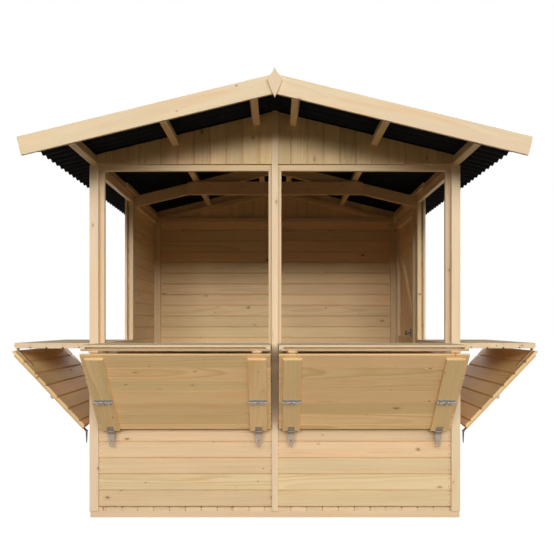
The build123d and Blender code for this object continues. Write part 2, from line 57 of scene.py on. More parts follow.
class Graph:
    """Short calls that add nodes to one tree and join them."""

    def __init__(self, tree):
        self.tree = tree

    def put(self, socket, value):
        if isinstance(value, bpy.types.NodeSocket):
            self.tree.links.new(value, socket)
        else:
            socket.default_value = value

    def add(self, kind, inputs, **settings):
        node = self.tree.nodes.new(kind)
        for key, value in settings.items():
            setattr(node, key, value)
        for key, value in inputs.items():
            self.put(node.inputs[key], value)
        return node

    def math(self, operation, *values):
        return self.add("ShaderNodeMath", dict(enumerate(values)), operation=operation).outputs[0]

    def spread(self, value, size, middle=0.0):
        """A value from 0 to 1, spread evenly over size about a middle."""
        return self.math("MULTIPLY_ADD", value, size, middle - size / 2)

    def scaled(self, *values):
        product = values[0]
        for value in values[1:]:
            product = self.math("MULTIPLY", product, value)
        return product

    def length(self, x, y):
        return self.math("SQRT", self.math("ADD", self.math("MULTIPLY", x, x), self.math("MULTIPLY", y, y)))

    def vector(self, x, y, z):
        return self.add("ShaderNodeCombineXYZ", {0: x, 1: y, 2: z}).outputs[0]

    def stretched(self, grain, along, across):
        """A place in the wood, scaled by one amount along the grain and another across it."""
        scale = {0: grain, 1: (along, across, across)}
        return self.add("ShaderNodeVectorMath", scale, operation="MULTIPLY").outputs[0]

    def split(self, value):
        return self.add("ShaderNodeSeparateXYZ", {0: value}).outputs

    def grey(self, value):
        return self.add("ShaderNodeCombineColor", {0: value, 1: value, 2: value}).outputs[0]

    def luck(self, seed):
        """Three numbers from 0 to 1 that one seed always gives."""
        noise = self.add("ShaderNodeTexWhiteNoise", {"W": seed}, noise_dimensions="1D")
        return self.split(noise.outputs["Color"])[:]

    def noise(self, vector, scale=1.0, detail=2.0, roughness=0.5):
        values = {"Vector": vector, "Scale": scale, "Detail": detail, "Roughness": roughness}
        return self.add("ShaderNodeTexNoise", values).outputs["Fac"]

    def smooth(self, value, low, high, out_low=0.0, out_high=1.0):
        values = {0: value, 1: low, 2: high, 3: out_low, 4: out_high}
        return self.add("ShaderNodeMapRange", values, interpolation_type="SMOOTHSTEP").outputs[0]

    def mix(self, factor, first, second, blend="MIX"):
        node = self.tree.nodes.new("ShaderNodeMix")
        node.data_type = "RGBA"
        node.blend_type = blend
        for index, value in ((0, factor), (6, first), (7, second)):
            self.put(node.inputs[index], value)
        return node.outputs[2]


def shader_group(name, inputs):
    """An empty node group that puts out a colour, a roughness and a height."""
    group = bpy.data.node_groups.new(name, "ShaderNodeTree")
    for label, value in inputs.items():
        kind = {float: "Float", tuple: "Color", type(None): "Vector"}[type(value)]
        socket = group.interface.new_socket(name=label, in_out="INPUT", socket_type="NodeSocket" + kind)
        if value is not None:
            socket.default_value = value
    for label, kind in (("Color", "Color"), ("Roughness", "Float"), ("Height", "Float")):
        group.interface.new_socket(name=label, in_out="OUTPUT", socket_type="NodeSocket" + kind)
    given = group.nodes.new("NodeGroupInput").outputs
    done = group.nodes.new("NodeGroupOutput").inputs
    return group, Graph(group), given, done


def finish_material(name, group, values, bump_strength, bump_distance, **constants):
    """A material whose colour, roughness and bump come from a group set with its own values."""
    material = bpy.data.materials.new(name)
    material.use_nodes = True
    g = Graph(material.node_tree)
    shader = material.node_tree.nodes["Principled BSDF"]
    skin = g.add("ShaderNodeGroup", values(g), node_tree=group)
    bump = g.add("ShaderNodeBump", {"Strength": bump_strength, "Distance": bump_distance,
                                    "Height": skin.outputs["Height"]})
    g.put(shader.inputs["Base Color"], skin.outputs["Color"])
    g.put(shader.inputs["Roughness"], skin.outputs["Roughness"])
    g.put(shader.inputs["Normal"], bump.outputs["Normal"])
    for label, value in constants.items():
        shader.inputs[label.replace("_", " ")].default_value = value
    return material


# The figure of planed pine: pale early wood, thin amber late-wood lines that follow the rings of
# a trunk, fine fibres, and small knots that the lines bend round.
def build_pine_figure():
    """Node group of the figure that every pine board and batten shows."""
    group, g, given, done = shader_group("pine_figure", {
        "Grain": None,
        "Board": 0.5,
        "Early Wood": (0.75, 0.55, 0.33, 1.0),
        "Late Wood": (0.52, 0.30, 0.13, 1.0),
        "Knot": (0.13, 0.060, 0.026, 1.0),
        "Ring Width": 0.0045,
        "Ring Strength": 0.5,
        "Knot Share": 0.5,
        "Board Spread": 0.5})
    along, across, through = g.split(given["Grain"])[:]
    seed = g.math("MULTIPLY", given["Board"], 913.7)
    luck_a, luck_b, luck_c = g.luck(seed)
    more_a, more_b, more_c = g.luck(g.math("ADD", seed, 41.3))
    hue_a, hue_b = g.luck(g.math("ADD", seed, 87.9))[:2]
    # knots lie on a loose net of cells, some of which hold one
    net_along, net_across = 3.1, 9.0
    knot_x = g.math("MULTIPLY_ADD", along, net_along, g.math("MULTIPLY", luck_a, 57.0))
    knot_y = g.math("MULTIPLY_ADD", across, net_across, g.math("MULTIPLY", luck_b, 91.0))
    net = {"Vector": g.vector(knot_x, knot_y, 0.0), "Scale": 1.0, "Randomness": 0.85}
    cell = g.add("ShaderNodeTexVoronoi", net, voronoi_dimensions="2D").outputs
    cell_x, cell_y = g.split(cell["Position"])[:2]
    cell_a, cell_b, cell_c = g.split(cell["Color"])[:]
    long = g.math("MULTIPLY_ADD", cell_c, 1.5, 1.3)
    off_x = g.math("DIVIDE", g.math("SUBTRACT", knot_x, cell_x), g.math("MULTIPLY", long, net_along))
    off_y = g.math("DIVIDE", g.math("SUBTRACT", knot_y, cell_y), net_across)
    away = g.length(off_x, off_y)
    present = g.math("LESS_THAN", cell_a, given["Knot Share"])
    radius = g.math("MULTIPLY_ADD", g.scaled(cell_b, cell_b, cell_b), 0.0060, 0.0026)
    reach = g.math("DIVIDE", away, g.math("MULTIPLY", radius, 2.4))
    swell = g.math("POWER", 2.718, g.scaled(reach, reach, -1.0))
    swell = g.scaled(swell, present, radius, 1.2)
    # distance from the heart of the trunk, which the rings follow
    heart_across = g.spread(luck_a, 0.10, 0.045)
    heart_through = g.math("MULTIPLY_ADD", g.scaled(luck_b, luck_b), 0.16, 0.020)
    lean_across = g.spread(luck_c, 0.030)
    lean_through = g.spread(more_a, 0.030)
    wander_at = g.vector(g.math("MULTIPLY", along, 0.9), g.math("MULTIPLY", across, 2.0), seed)
    wander = g.spread(g.noise(wander_at, 1.0, 3.0), 0.022)
    strayed_w = g.math("MULTIPLY_ADD", along, lean_across, wander)
    strayed_t = g.math("MULTIPLY_ADD", along, lean_through, wander)
    w = g.math("ADD", g.math("SUBTRACT", across, heart_across), strayed_w)
    t = g.math("ADD", g.math("ADD", through, heart_through), strayed_t)
    fine = g.spread(g.noise(g.stretched(given["Grain"], 7.0, 90.0)), 0.0014)
    from_heart = g.math("ADD", g.math("ADD", g.length(w, t), swell), fine)
    phase = g.math("DIVIDE", from_heart, g.math("MULTIPLY", given["Ring Width"], g.spread(more_b, 0.8, 1.0)))
    step = g.math("FRACT", phase)
    ring_luck = g.luck(g.math("ADD", g.math("FLOOR", phase), seed))[0]
    late = g.math("MULTIPLY", g.smooth(step, 0.30, 0.92), g.smooth(step, 0.93, 1.0, 1.0, 0.0))
    late = g.math("MULTIPLY", late, g.math("MULTIPLY_ADD", ring_luck, 0.9, 0.20))
    # long fibres and soft patches
    fibre = g.noise(g.stretched(given["Grain"], 5.0, 420.0), 1.0, 3.0, 0.6)
    patch_seed = g.math("ADD", seed, 7.0)
    patch_at = g.vector(g.math("MULTIPLY", along, 1.6), g.math("MULTIPLY", across, 14.0), patch_seed)
    patch = g.noise(patch_at, 1.0, 3.0)
    flush_seed = g.math("ADD", seed, 31.0)
    flush_at = g.vector(g.math("MULTIPLY", along, 2.6), g.math("MULTIPLY", across, 20.0), flush_seed)
    flush = g.smooth(g.noise(flush_at, 1.0, 2.0), 0.52, 0.74)
    wood = g.mix(g.math("MULTIPLY", late, given["Ring Strength"]), given["Early Wood"], given["Late Wood"])
    tone = g.math("ADD", g.spread(fibre, 0.16, 1.0), g.spread(patch, 0.22))
    tone = g.math("ADD", tone, g.math("MULTIPLY", g.spread(more_c, 0.22), given["Board Spread"]))
    wood = g.mix(1.0, wood, g.grey(tone), "MULTIPLY")
    tint = g.mix(hue_a, (1.03, 0.95, 0.92, 1), (0.98, 1.01, 0.90, 1))
    wood = g.mix(given["Board Spread"], wood, g.mix(1.0, wood, tint, "MULTIPLY"))
    wood = g.mix(g.scaled(flush, hue_b, 0.8), wood, g.mix(1.0, wood, (1.0, 0.86, 0.74, 1), "MULTIPLY"))
    # the knot: a red-brown core with a darker edge, in a stained halo
    core = g.math("MULTIPLY", g.smooth(away, g.math("MULTIPLY", radius, 0.75), radius, 1.0, 0.0), present)
    rim = g.math("MULTIPLY", g.smooth(away, g.math("MULTIPLY", radius, 0.55), radius, 0.25, 1.0), core)
    halo = g.math("MULTIPLY", g.smooth(away, radius, g.math("MULTIPLY", radius, 3.0), 0.5, 0.0), present)
    wood = g.mix(halo, wood, given["Late Wood"])
    wood = g.mix(g.math("MULTIPLY_ADD", rim, 0.35, g.math("MULTIPLY", core, 0.60)), wood, given["Knot"])
    g.put(done["Color"], wood)
    g.put(done["Roughness"], g.math("MULTIPLY_ADD", fibre, 0.14, g.math("MULTIPLY_ADD", late, -0.10, 0.50)))
    g.put(done["Height"], g.math("MULTIPLY_ADD", late, 0.5, g.math("MULTIPLY", fibre, 0.5)))
    return group


pine_figure = build_pine_figure()


def pine(name, early, late, strength=0.45, ring=0.0048, knots=0.42, spread=0.7, gloss=0.35):
    """Planed pine with its own colours, ring width, knots and difference between boards."""
    def values(g):
        return {"Grain": g.add("ShaderNodeAttribute", {}, attribute_name="grain").outputs["Vector"],
                "Board": g.add("ShaderNodeAttribute", {}, attribute_name="board").outputs["Fac"],
                "Early Wood": early + (1,), "Late Wood": late + (1,), "Ring Width": ring,
                "Ring Strength": strength, "Knot Share": knots, "Board Spread": spread}
    return finish_material(name, pine_figure, values, 0.12, 0.0006, Specular_IOR_Level=gloss)


def place(name, bm, material, body, nodes=()):
    """Makes a piece of a finished mesh with its material, on its body."""
    mesh = bpy.data.meshes.new(name)
    bm.to_mesh(mesh)
    bm.free()
    mesh.materials.append(material)
    piece = bpy.data.objects.new(name, mesh)
    bpy.context.scene.collection.objects.link(piece)
    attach(piece, body)
    if nodes:
        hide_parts(*nodes)
    return piece


log_length = 40


class Timbers:
    """One mesh of separate timbers. Each carries the place it was cut from and its own number."""

    def __init__(self):
        self.bm = bmesh.new()
        self.grain = self.bm.verts.layers.float_vector.new("grain")
        self.board = self.bm.verts.layers.float.new("board")

    def prism(self, outline, start, end, along, across, through, origin):
        """An outline of (across, through) points, from start to end along. An end may be a number
        or a function of the point."""
        number = dice.random()
        shift = dice.uniform(0, log_length)
        rows = []
        for limit in (start, end):
            row = []
            for w, t in outline:
                run = limit(w, t) if callable(limit) else limit
                vert = self.bm.verts.new(origin + along * run + across * w + through * t)
                vert[self.grain] = Vector((run + shift, w, t))
                vert[self.board] = number
                row.append(vert)
            rows.append(row)
        count = len(outline)
        for i in range(count):
            j = (i + 1) % count
            self.bm.faces.new((rows[0][i], rows[0][j], rows[1][j], rows[1][i]))
        self.bm.faces.new(list(reversed(rows[0])))
        self.bm.faces.new(rows[1])

    def copy(self, solid):
        """A timber with the faces of a CAD solid."""
        number = dice.random()
        shift = dice.uniform(0, log_length)
        off_heart = Vector((shift, 0.03, 0))
        made = {}
        for face in solid["faces"]:
            for old in face.verts:
                if old.index not in made:
                    vert = self.bm.verts.new(old.co)
                    off = old.co - solid["centre"]
                    grain = [off.dot(solid[axis]) for axis in ("along", "across", "through")]
                    vert[self.grain] = Vector(grain) + off_heart
                    vert[self.board] = number
                    made[old.index] = vert
            self.bm.faces.new([made[old.index] for old in face.verts])

    def finish(self, name, material, body, nodes, ease=0.0):
        """Makes the piece, with its edges eased by a small round if one is given."""
        bmesh.ops.recalc_face_normals(self.bm, faces=self.bm.faces)
        piece = place(name, self.bm, material, body, nodes)
        if ease:
            bevel = piece.modifiers.new("eased_edges", "BEVEL")
            bevel.width = ease
            bevel.segments = 2
            bevel.limit_method = "ANGLE"
            bevel.angle_limit = math.radians(40)
        return piece


board_cover = 0.0965
vee_out = 0.0052
vee_in = 0.0042
reveal = 0.0013
shoulder = 0.003
half_tongue = 0.0004


def board_outline(wide, thick, outer=vee_out, inner=vee_in, gap=reveal):
    """Outline of a tongue-and-groove board with a V joint on both faces, inner face at 0."""
    deep = min(shoulder, (thick - outer - inner) / 2 - half_tongue)
    low, high = inner + deep, thick - outer - deep
    right = [(wide - inner, 0), (wide - gap, inner), (wide - gap, low), (wide, low)]
    right += [(wide, high), (wide - gap, high), (wide - gap, thick - outer), (wide - outer, thick)]
    return right + [(wide - w, t) for w, t in reversed(right)]


def courses(low, high, cover=board_cover, least=0.3):
    """Edges of the courses between two levels. A last strip under a share of one joins its neighbour."""
    edges = [low]
    while high - edges[-1] > cover * (1 + least):
        edges.append(edges[-1] + cover)
    return edges + [high]


floor_cover = 0.0942
floor_joint = 0.0045
pine_floor = pine("pine_floor", (0.83, 0.645, 0.42), (0.64, 0.41, 0.20),
                  strength=0.45, ring=0.0052, knots=0.42, spread=0.7)
floor_low, floor_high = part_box("floor_boards")
floor = Timbers()
for start, end in ((floor_low.x, 0.0), (0.0, floor_high.x)):
    floor_edges = courses(start, end, floor_cover, 0.1)
    for left, right in zip(floor_edges[:-1], floor_edges[1:]):
        outline = board_outline(right - left, floor_high.z - floor_low.z, floor_joint, floor_joint)
        origin = Vector((left, floor_low.y, floor_low.z))
        floor.prism(outline, 0, floor_high.y - floor_low.y, ALONG_Y, ALONG_X, UP, origin)
floor.finish("floor_planks", pine_floor, STALL, ["floor_boards"])

# ---------------------------------------------------------------- bearers and frame
# Squared bearers lie on the ground from side to side. Studs, rails and headers are 38 x 28 mm
# planed battens, screwed into panels before the boards go on.


def cad_solids(node):
    """The separate solids of a CAD node, each with its faces, box and three directions."""
    bm = bmesh.new()
    bm.from_mesh(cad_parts[node].data)
    bmesh.ops.remove_doubles(bm, verts=bm.verts, dist=1e-6)
    bmesh.ops.dissolve_limit(bm, angle_limit=math.radians(0.5), verts=bm.verts, edges=bm.edges)
    for kind in (bm.verts, bm.edges, bm.faces):
        kind.index_update()
    left = set(bm.faces)
    solids = []
    while left:
        todo = [left.pop()]
        faces = []
        while todo:
            face = todo.pop()
            faces.append(face)
            for edge in face.edges:
                for other in edge.link_faces:
                    if other in left:
                        left.remove(other)
                        todo.append(other)
        solids.append(describe(sorted(faces, key=lambda f: f.index)))
    solids.sort(key=lambda s: tuple(round(c, 4) for c in s["centre"]))
    return bm, solids


def settled(direction):
    """A direction or its opposite, whichever has its longest part positive."""
    main = max(range(3), key=lambda i: round(abs(direction[i]), 3))
    return direction if direction[main] > 0 else -direction


def describe(faces):
    """Box, middle, directions and half sizes of the solid that some faces close."""
    verts = {v for face in faces for v in face.verts}
    edges = sorted({e for face in faces for e in face.edges}, key=lambda e: e.index)

    def reach(axis):
        places = [v.co.dot(axis) for v in verts]
        return min(places), max(places)

    def rise(edge):
        return round(abs(edge.verts[1].co.z - edge.verts[0].co.z), 3)

    def thickness(normal):
        low_end, high_end = reach(normal)
        return round(high_end - low_end, 4), round(-abs(normal.z), 3), round(-abs(normal.x), 3)

    longest = max(edges, key=lambda e: (round(e.calc_length(), 4), rise(e)))
    along = settled((longest.verts[1].co - longest.verts[0].co).normalized())
    sides = [f.normal for f in faces if abs(f.normal.dot(along)) < 0.02]
    through = settled(min(sides, key=thickness).normalized())
    across = through.cross(along).normalized()
    half = [(reach(axis)[1] - reach(axis)[0]) / 2 for axis in (along, across, through)]
    low = Vector([reach(axis)[0] for axis in (ALONG_X, ALONG_Y, UP)])
    high = Vector([reach(axis)[1] for axis in (ALONG_X, ALONG_Y, UP)])
    return {"faces": faces, "low": low, "high": high, "centre": (low + high) / 2,
            "along": along, "across": across, "through": through, "half": half}


def plain_timbers(name, nodes, material, body=STALL, ease=0.0014):
    """Timbers exactly as long and as thick as the CAD solids, with eased edges."""
    stack = Timbers()
    for node in nodes:
        bm, solids = cad_solids(node)
        for solid in solids:
            stack.copy(solid)
        bm.free()
    return stack.finish(name, material, body, nodes, ease)


pine_frame = pine("pine_frame", (0.80, 0.61, 0.385), (0.62, 0.39, 0.19),
                  strength=0.5, ring=0.0042, knots=0.30, spread=0.7)
plain_timbers("bearers", ["floor_bearers"], pine_floor)
plain_timbers("front_frame", ["front_posts", "front_rails"], pine_frame)
plain_timbers("back_frame", ["back_posts", "back_rails"], pine_frame)
plain_timbers("left_frame", ["left_posts", "left_rails"], pine_frame)
right_timbers = ["right_posts", "right_rails", "door_posts", "door_frame_rails"]
plain_timbers("right_frame", right_timbers, pine_frame)
plain_timbers("side_header_rails", ["side_headers"], pine_frame)
plain_timbers("gable_frame", ["gable_rafters"], pine_frame)

# ---------------------------------------------------------------- wall boards
# Tongue-and-groove boards, 16 mm thick with a V joint on both faces, nailed level across the
# studs. Each course covers 96.5 mm, and the lowest one hangs just clear of the floor. The back
# wall's pine is coloured warmer than the rest as painted warm shade of light bounced inside the
# stall, and strips too low for a nail at each edge get none.

pine_walls = pine("pine_walls", (0.82, 0.63, 0.395), (0.61, 0.385, 0.175),
                  strength=0.60, ring=0.0050, knots=0.42, spread=0.8)
# Painted warm shade: the back wall's copy of the wall pine, warmer to stand in for light bounced inside.
pine_back_painted_warm_shade = pine("pine_back_painted_warm_shade", (0.85, 0.63, 0.365), (0.64, 0.40, 0.165),
                 strength=0.60, ring=0.0050, knots=0.42, spread=0.8)
nail_inset = 0.024
nail_radius = 0.0027
nail_proud = 0.0005
nail_stray_along = 0.004
nail_stray_up = 0.003
least_nailed = 0.06
least_strip = 0.004
nails = bmesh.new()


def dome(bm, centre, out, radius, high, sides=8):
    """A low round head on a face that looks out."""
    side = out.orthogonal().normalized()
    other = out.cross(side)
    rings = []
    for share, rise in ((1.0, -0.2), (1.0, 0.45), (0.6, 1.0)):
        ring = []
        for i in range(sides):
            turn = 2 * math.pi * i / sides
            place_at = side * math.cos(turn) + other * math.sin(turn)
            ring.append(bm.verts.new(centre + place_at * radius * share + out * high * rise))
        rings.append(ring)
    for lower, upper in zip(rings[:-1], rings[1:]):
        for i in range(sides):
            j = (i + 1) % sides
            bm.faces.new((lower[i], lower[j], upper[j], upper[i]))
    bm.faces.new(rings[-1])
    bm.faces.new(list(reversed(rings[0])))


def stud_places(posts, axis):
    """Middles of the studs along a wall, which the nails follow."""
    places = set()
    for node in posts:
        bm, solids = cad_solids(node)
        places |= {round(solid["centre"][axis], 3) for solid in solids}
        bm.free()
    return sorted(places)


def level_boards(stack, low, high, first, studs, vee):
    """Level boards that fill one wall panel between its corners, stacked up from a level."""
    size = high - low
    thin = 0 if size.x < size.y else 1
    run = 1 - thin
    out = Vector((0, 0, 0))
    out[thin] = math.copysign(1, low[thin] + high[thin])
    along = ALONG_Y if thin == 0 else ALONG_X
    inner_face = low[thin] if out[thin] > 0 else high[thin]
    edges = [e for e in courses(first, high.z) if low.z + least_strip < e < high.z]
    edges = [low.z] + edges + [high.z]
    for bottom, top in zip(edges[:-1], edges[1:]):
        origin = Vector((0, 0, bottom))
        origin[thin] = inner_face
        origin[run] = low[run]
        outline = board_outline(top - bottom, size[thin], inner=vee)
        stack.prism(outline, 0, size[run], along, UP, out, origin)
        for stud in studs:
            if low[run] < stud < high[run] and top - bottom > least_nailed:
                for level in (bottom + nail_inset, top - nail_inset):
                    head = origin + out * size[thin] + UP * (level - bottom)
                    head[run] = stud + dice.uniform(-nail_stray_along, nail_stray_along)
                    head.z += dice.uniform(-nail_stray_up, nail_stray_up)
                    dome(nails, head, out, nail_radius, nail_proud)


def wall_piece(name, nodes, posts, axis, vee=vee_in, wood=pine_walls):
    """All the boards of one wall, nailed at its studs."""
    stack = Timbers()
    studs = stud_places(posts, axis)
    for node in nodes:
        bm, solids = cad_solids(node)
        for solid in solids:
            level_boards(stack, solid["low"], solid["high"], wall_foot, studs, vee)
        bm.free()
    return stack.finish(name, wood, STALL, nodes)


wall_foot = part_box("front_wall")[0].z
vee_side = 0.0058
right_nodes = ["right_wall_low", "wall_before_door", "wall_over_door", "wall_after_door"]
wall_piece("front_wall_boards", ["front_wall"], ["front_posts"], 0)
wall_piece("back_wall_boards", ["back_wall"], ["back_posts"], 0, vee_side, pine_back_painted_warm_shade)
wall_piece("left_wall_boards", ["left_wall_low", "left_wall_rear"], ["left_posts"], 1, vee_side)
wall_piece("right_wall_boards", right_nodes, ["right_posts", "door_posts"], 1, vee_side)


def build_zinc_plate():
    """Node group of plated steel with faint crystals and scuffs."""
    group, g, given, done = shader_group("zinc_plate", {
        "Base": (0.62, 0.63, 0.64, 1.0), "Spangle": 0.15, "Roughness": 0.3})
    where = g.add("ShaderNodeTexCoord", {}).outputs["Object"]
    crystal = g.split(g.add("ShaderNodeTexVoronoi", {"Vector": where, "Scale": 260.0}).outputs["Color"])[0]
    scuffs = g.noise(where, 60.0, 4.0, 0.65)
    sparkle = g.math("MULTIPLY", g.spread(crystal, 1.0), given["Spangle"])
    shade = g.math("ADD", sparkle, g.spread(scuffs, 0.3, 1.0))
    g.put(done["Color"], g.mix(1.0, given["Base"], g.grey(shade), "MULTIPLY"))
    g.put(done["Roughness"], g.math("MULTIPLY_ADD", scuffs, 0.25, given["Roughness"]))
    g.put(done["Height"], g.math("ADD", scuffs, g.math("MULTIPLY", crystal, 0.3)))
    return group


zinc_plate = build_zinc_plate()


def zinc(name, base, rough, spangle=0.15):
    """Plated steel of one colour and roughness."""
    values = lambda g: {"Base": base + (1,), "Roughness": rough, "Spangle": spangle}
    return finish_material(name, zinc_plate, values, 0.08, 0.0003, Metallic=1.0)


dull_zinc = zinc("dull_zinc", (0.20, 0.18, 0.165), 0.42)
place("wall_nails", nails, dull_zinc, STALL)

# ---------------------------------------------------------------- gable boards
# The gables are closed with boards like the walls' stood upright, their heads sawn to the roof
# slope under the sheets. They are laid from the middle joint outwards. Their pine is coloured
# darker and more orange than the walls' as painted shade under the roof overhang.

roof_pitch = math.radians(13.7)
vee_gable = 0.0060
gable_gap = 0.0022
# Painted shade: darker, more orange pine for the gables under the overhang.
pine_gable_painted_shade = pine("pine_gable_painted_shade", (0.79, 0.57, 0.32), (0.60, 0.37, 0.16),
                  strength=0.55, ring=0.0050, knots=0.5, spread=1.0)


def gable_boards(name, node):
    """Upright boards from the middle of a gable to both eaves."""
    low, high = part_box(node)
    out = ALONG_Y if low.y > 0 else -ALONG_Y
    face = low.y if out.y > 0 else high.y
    stack = Timbers()
    edges = courses(0.0, high.x, board_cover, 0.1)
    for side in (-1, 1):
        for near, far in zip(edges[:-1], edges[1:]):
            outline = board_outline(far - near, high.y - low.y, vee_gable, vee_in, gable_gap)
            origin = Vector((side * near, face, 0))
            sawn_head = lambda w, t, near=near: high.z - (near + w) * math.tan(roof_pitch)
            stack.prism(outline, low.z, sawn_head, UP, ALONG_X * side, out, origin)
    return stack.finish(name, pine_gable_painted_shade, STALL, [node])


gable_boards("front_gable_boards", "front_gable")
gable_boards("back_gable_boards", "back_gable")

# ---------------------------------------------------------------- trims
# Planed corner boards and cover strips of pale pine hide the joints of the panels. They are
# nailed on last, over the ends of the wall boards.

pine_trim = pine("pine_trim", (0.86, 0.68, 0.46), (0.71, 0.50, 0.28),
                 strength=0.40, ring=0.0055, knots=0.30, spread=0.45)
plain_timbers("corner_boards", ["corner_trims"], pine_trim)
plain_timbers("joint_strips", ["cover_strips"], pine_trim)

# ---------------------------------------------------------------- roof timbers
# Three purlins on each slope, each in two lengths that meet over the truss, with a plate over
# the joint of the lowest. Two rafters and a collar tie make the truss; its pine is coloured
# darker than the frame's as painted shade under the roof.

# Painted shade: darker pine for the truss in the dark under the roof.
pine_truss_painted_shade = pine("pine_truss_painted_shade", (0.68, 0.46, 0.25), (0.52, 0.30, 0.13),
                 strength=0.5, ring=0.0042, knots=0.35, spread=0.8)
plain_timbers("roof_purlins", ["purlins"], pine_frame)
plain_timbers("purlin_joint_plates", ["purlin_splices"], pine_trim)
plain_timbers("truss", ["truss_rafters", "collar_tie"], pine_truss_painted_shade)

# ---------------------------------------------------------------- roofing
# Corrugated sheets of black bitumen fibre, dull and finely felted, with waves that run down the
# slope. Capped nails through the crests hold them to the purlins.


def build_felted_skin():
    """Node group of black bitumen fibre with a fine nap and cloudy patches."""
    group, g, given, done = shader_group("felted_skin", {
        "Scale": 1.0, "Dark": (0.002, 0.002, 0.0022, 1.0), "Light": (0.010, 0.010, 0.011, 1.0)})
    where = g.add("ShaderNodeTexCoord", {}).outputs["Object"]
    fuzz = g.noise(where, g.math("MULTIPLY", given["Scale"], 900.0), 3.0, 0.7)
    cloud = g.noise(where, g.math("MULTIPLY", given["Scale"], 9.0), 3.0, 0.6)
    shade = g.math("MULTIPLY_ADD", cloud, 0.6, g.math("MULTIPLY", fuzz, 0.4))
    g.put(done["Color"], g.mix(g.smooth(shade, 0.3, 0.7), given["Dark"], given["Light"]))
    g.put(done["Roughness"], g.math("MULTIPLY_ADD", fuzz, 0.2, 0.72))
    g.put(done["Height"], g.math("ADD", fuzz, g.math("MULTIPLY", cloud, 0.4)))
    return group


felted_skin = build_felted_skin()
bitumen = finish_material("bitumen_sheet", felted_skin, lambda g: {}, 0.35, 0.0012, Specular_IOR_Level=0.1)
cap_plastic = finish_material("nail_cap_plastic", felted_skin,
                              lambda g: {"Scale": 3.0, "Light": (0.018, 0.018, 0.020, 1)}, 0.1, 0.0004)
sheet_thick = 0.003
wave_high = 0.030
wave_pitch = 0.088
wave_steps = 16
cap_radius = 0.011
cap_high = 0.006
caps = bmesh.new()
purlin_places = sorted({round(abs(s["centre"].x), 3) for s in cad_solids("purlins")[1]})


def corrugated_sheet(name, node, side):
    """One slope's sheet, with its nails on every second crest over the outer purlins."""
    down = Vector((side * math.cos(roof_pitch), 0, -math.sin(roof_pitch)))
    out = Vector((side * math.sin(roof_pitch), 0, math.cos(roof_pitch)))
    corners = [v.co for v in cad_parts[node].data.vertices]
    start, end = min(c.dot(down) for c in corners), max(c.dot(down) for c in corners)
    base = min(c.dot(out) for c in corners)
    low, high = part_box(node)
    waves = round((high.y - low.y) / wave_pitch)
    bm = bmesh.new()
    rows = []
    for i in range(waves * wave_steps + 1):
        y = low.y + (high.y - low.y) * i / (waves * wave_steps)
        lift = base + wave_high / 2 * (1 - math.cos(2 * math.pi * i / wave_steps))
        points = [(start, lift), (end, lift), (end, lift + sheet_thick), (start, lift + sheet_thick)]
        rows.append([bm.verts.new(down * run + out * rise + ALONG_Y * y) for run, rise in points])
    for near, far in zip(rows[:-1], rows[1:]):
        for i in range(4):
            j = (i + 1) % 4
            face = bm.faces.new((near[i], near[j], far[j], far[i]))
            face.smooth = i in (0, 2)
            for edge in face.edges:
                if set(edge.verts) in ({near[i], far[i]}, {near[j], far[j]}):
                    edge.smooth = False
    bm.faces.new(rows[0])
    bm.faces.new(list(reversed(rows[-1])))
    bmesh.ops.recalc_face_normals(bm, faces=bm.faces)
    crest = base + wave_high + sheet_thick
    for x in purlin_places[1:]:
        run = (x - crest * math.sin(roof_pitch)) / math.cos(roof_pitch)
        for i in range(0, waves, 2):
            y = low.y + (i + 0.5) * (high.y - low.y) / waves
            dome(caps, down * run + out * crest + ALONG_Y * y, out, cap_radius, cap_high)
    return place(name, bm, bitumen, STALL, [node])


corrugated_sheet("roof_sheet_left_waves", "roof_sheet_left", -1)
corrugated_sheet("roof_sheet_right_waves", "roof_sheet_right", 1)
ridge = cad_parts["ridge_cap"]
ridge.data.materials.clear()
ridge.data.materials.append(bitumen)
ridge_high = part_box("ridge_cap")[1].z
ridge_out = Vector((math.sin(roof_pitch), 0, math.cos(roof_pitch)))
ridge_low_y, ridge_high_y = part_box("ridge_cap")[0].y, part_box("ridge_cap")[1].y
ridge_nails = 11
ridge_nail_run = 0.14
ridge_crown = 0.022
ridge_nail_fall = (ridge_nail_run - ridge_crown) * math.sin(roof_pitch)
for side in (-1, 1):
    out = Vector((side * ridge_out.x, 0, ridge_out.z))
    for i in range(ridge_nails):
        y = ridge_low_y + (i + 0.5) * (ridge_high_y - ridge_low_y) / ridge_nails
        head = Vector((side * ridge_nail_run * math.cos(roof_pitch), y, ridge_high - ridge_nail_fall))
        dome(caps, head, out, cap_radius, cap_high)
place("roof_nail_caps", caps, cap_plastic, STALL)

# ---------------------------------------------------------------- bargeboards
# Wide planed boards over the ends of the purlins and sheets, mitred at the ridge, with a
# leaf-shaped finial screwed over the mitre.

plain_timbers("front_barge_boards", ["front_bargeboards"], pine_trim, ease=0.002)
plain_timbers("back_barge_boards", ["back_bargeboards"], pine_trim, ease=0.002)
plain_timbers("gable_finials", ["finials"], pine_trim)

# ---------------------------------------------------------------- counters
# The inner leaf of each shutter lies level as a counter: V-jointed boards below, plain boards on
# top, glued to battens at both ends, with a shadow slot between the two layers.

pine_counter = pine("pine_counter", (0.88, 0.71, 0.49), (0.74, 0.53, 0.31),
                    strength=0.40, ring=0.0050, knots=0.36, spread=0.5, gloss=0.0)
layer_thick = 0.0108
end_batten = 0.024
slot_deep = 0.030
vee_counter = 0.0085
joint_counter = 0.0008


